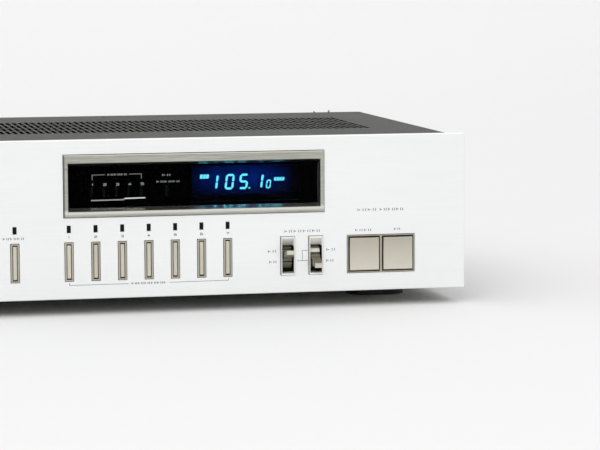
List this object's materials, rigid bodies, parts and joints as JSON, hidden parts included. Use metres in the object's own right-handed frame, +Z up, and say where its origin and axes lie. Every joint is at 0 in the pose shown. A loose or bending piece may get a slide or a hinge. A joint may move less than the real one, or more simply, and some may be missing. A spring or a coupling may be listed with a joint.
{
  "type": "stereo tuner receiver",
  "caption": "Slim hi-fi AM/FM stereo tuner: silver face with lit digital display, station keys, band levers and tuning buttons on a slotted dark cabinet with four feet.",
  "frame": {"origin": "middle of the footprint of the whole tuner, on the plane of the feet", "axes": "+X to the right along the front as a listener faces it, +Y from the face to the back, +Z up"},
  "size_m": [0.42, 0.2722, 0.0983],
  "materials": {
    "face_aluminium": "fine satin anodised",
    "zinc_steel": "zinc passivated sheet",
    "rear_black": "matt black paint",
    "cover_paint": "fine textured dark grey paint",
    "black_screw": "blackened",
    "zinc_screw": "zinc plated",
    "bezel_metal": "brushed champagne silver",
    "smoked_acrylic": "polished smoked acrylic",
    "black_mask": "matt black",
    "tube_glass": "clear glass",
    "anode_plate": "dark anode plate",
    "unlit_lens": "dark green translucent",
    "circuit_board": "phenolic board",
    "ribbon_cable": "grey vinyl",
    "frame_plastic": "beige moulding",
    "lever_surround": "ivory moulding",
    "key_metal": "satin champagne",
    "lever_plastic": "satin champagne",
    "switch_plastic": "black moulding",
    "steel_pin": "ground steel",
    "core_iron": "varnished laminations",
    "winding_tape": "yellow winding tape",
    "tinned_steel": "tinned sheet",
    "heat_sink_aluminium": "mill finish",
    "capacitor_sleeve": "blue vinyl sleeve",
    "black_moulding": "black moulding",
    "socket_moulding": "black moulding",
    "nickel": "nickel plated",
    "foot_plastic": "black"
  },
  "bodies": {
    "cabinet": {"antenna_terminals": "socket_moulding", "bottom_chassis": "zinc_steel", "coax_socket": "nickel", "cover_screws": "black_screw", "display_bezel": "bezel_metal", "display_board": "circuit_board", "display_mask": "black_mask", "display_ribbon": "ribbon_cable", "display_window": "smoked_acrylic", "ferrite_bracket": "black_moulding", "filter_capacitors": "capacitor_sleeve", "foot_front_left": "foot_plastic", "foot_front_right": "foot_plastic", "foot_rear_left": "foot_plastic", "foot_rear_right": "foot_plastic", "front_panel": "face_aluminium", "front_subchassis": "zinc_steel", "function_switches": "switch_plastic", "heat_sink": "heat_sink_aluminium", "if_transformers": "tinned_steel", "indicator_leds": "unlit_lens", "integrated_circuits": "black_moulding", "key_board": "circuit_board", "key_frames": "frame_plastic", "level_leds": "unlit_lens", "lever_frames": "lever_surround", "lever_pins": "steel_pin", "main_board": "circuit_board", "mains_inlet": "socket_moulding", "output_jacks": "socket_moulding", "power_switch": "switch_plastic", "rear_panel": "rear_black", "tact_switches": "switch_plastic", "terminal_screws": "zinc_screw", "top_cover": "cover_paint", "transformer_core": "core_iron", "transformer_frame": "zinc_steel", "transformer_winding": "winding_tape", "tune_frame": "frame_plastic", "tuner_shield": "tinned_steel", "vfd_anode_plate": "anode_plate", "vfd_tube": "tube_glass", "voltage_regulators": "black_moulding"},
    "power_button": {"power_button": "key_metal"},
    "mode_button": {"mode_button": "key_metal"},
    "memory_button": {"memory_button": "key_metal"},
    "station_button_1": {"station_button_1": "key_metal"},
    "station_button_2": {"station_button_2": "key_metal"},
    "station_button_3": {"station_button_3": "key_metal"},
    "station_button_4": {"station_button_4": "key_metal"},
    "station_button_5": {"station_button_5": "key_metal"},
    "station_button_6": {"station_button_6": "key_metal"},
    "station_button_7": {"station_button_7": "key_metal"},
    "tune_down_button": {"tune_down_button": "key_metal"},
    "tune_up_button": {"tune_up_button": "key_metal"},
    "fm_am_lever": {"fm_am_lever": "lever_plastic"},
    "mw_lw_lever": {"mw_lw_lever": "lever_plastic"},
    "ferrite_antenna": {"ferrite_antenna": "black_moulding"}
  },
  "joints": [
    {"name": "power_button_press", "type": "slide", "parent": "cabinet", "child": "power_button", "axis": [0, 1, 0], "range_m": [0, 0.003], "stiffness_N_per_m": 400, "springref_m": -0.003},
    {"name": "mode_button_press", "type": "slide", "parent": "cabinet", "child": "mode_button", "axis": [0, 1, 0], "range_m": [0, 0.0012], "stiffness_N_per_m": 400, "springref_m": -0.002},
    {"name": "memory_button_press", "type": "slide", "parent": "cabinet", "child": "memory_button", "axis": [0, 1, 0], "range_m": [0, 0.001], "stiffness_N_per_m": 400, "springref_m": -0.002},
    {"name": "station_button_1_press", "type": "slide", "parent": "cabinet", "child": "station_button_1", "axis": [0, 1, 0], "range_m": [0, 0.001], "stiffness_N_per_m": 400, "springref_m": -0.002},
    {"name": "station_button_2_press", "type": "slide", "parent": "cabinet", "child": "station_button_2", "axis": [0, 1, 0], "range_m": [0, 0.001], "stiffness_N_per_m": 400, "springref_m": -0.002},
    {"name": "station_button_3_press", "type": "slide", "parent": "cabinet", "child": "station_button_3", "axis": [0, 1, 0], "range_m": [0, 0.001], "stiffness_N_per_m": 400, "springref_m": -0.002},
    {"name": "station_button_4_press", "type": "slide", "parent": "cabinet", "child": "station_button_4", "axis": [0, 1, 0], "range_m": [0, 0.001], "stiffness_N_per_m": 400, "springref_m": -0.002},
    {"name": "station_button_5_press", "type": "slide", "parent": "cabinet", "child": "station_button_5", "axis": [0, 1, 0], "range_m": [0, 0.001], "stiffness_N_per_m": 400, "springref_m": -0.002},
    {"name": "station_button_6_press", "type": "slide", "parent": "cabinet", "child": "station_button_6", "axis": [0, 1, 0], "range_m": [0, 0.001], "stiffness_N_per_m": 400, "springref_m": -0.002},
    {"name": "station_button_7_press", "type": "slide", "parent": "cabinet", "child": "station_button_7", "axis": [0, 1, 0], "range_m": [0, 0.001], "stiffness_N_per_m": 400, "springref_m": -0.002},
    {"name": "tune_down_button_press", "type": "slide", "parent": "cabinet", "child": "tune_down_button", "axis": [0, 1, 0], "range_m": [0, 0.0012], "stiffness_N_per_m": 400, "springref_m": -0.002},
    {"name": "tune_up_button_press", "type": "slide", "parent": "cabinet", "child": "tune_up_button", "axis": [0, 1, 0], "range_m": [0, 0.0012], "stiffness_N_per_m": 400, "springref_m": -0.002},
    {"name": "fm_am_lever_tilt", "type": "hinge", "parent": "cabinet", "child": "fm_am_lever", "pos_m": [0.1059, -0.12017, 0.0288], "axis": [1, 0, 0], "range_deg": [0, 29]},
    {"name": "mw_lw_lever_tilt", "type": "hinge", "parent": "cabinet", "child": "mw_lw_lever", "pos_m": [0.1222, -0.12017, 0.0288], "axis": [1, 0, 0], "range_deg": [-29, 0]},
    {"name": "ferrite_antenna_swing", "type": "hinge", "parent": "cabinet", "child": "ferrite_antenna", "pos_m": [0.181, 0.13063, 0.074], "axis": [0, 0, -1], "range_deg": [0, 90]}
  ]
}
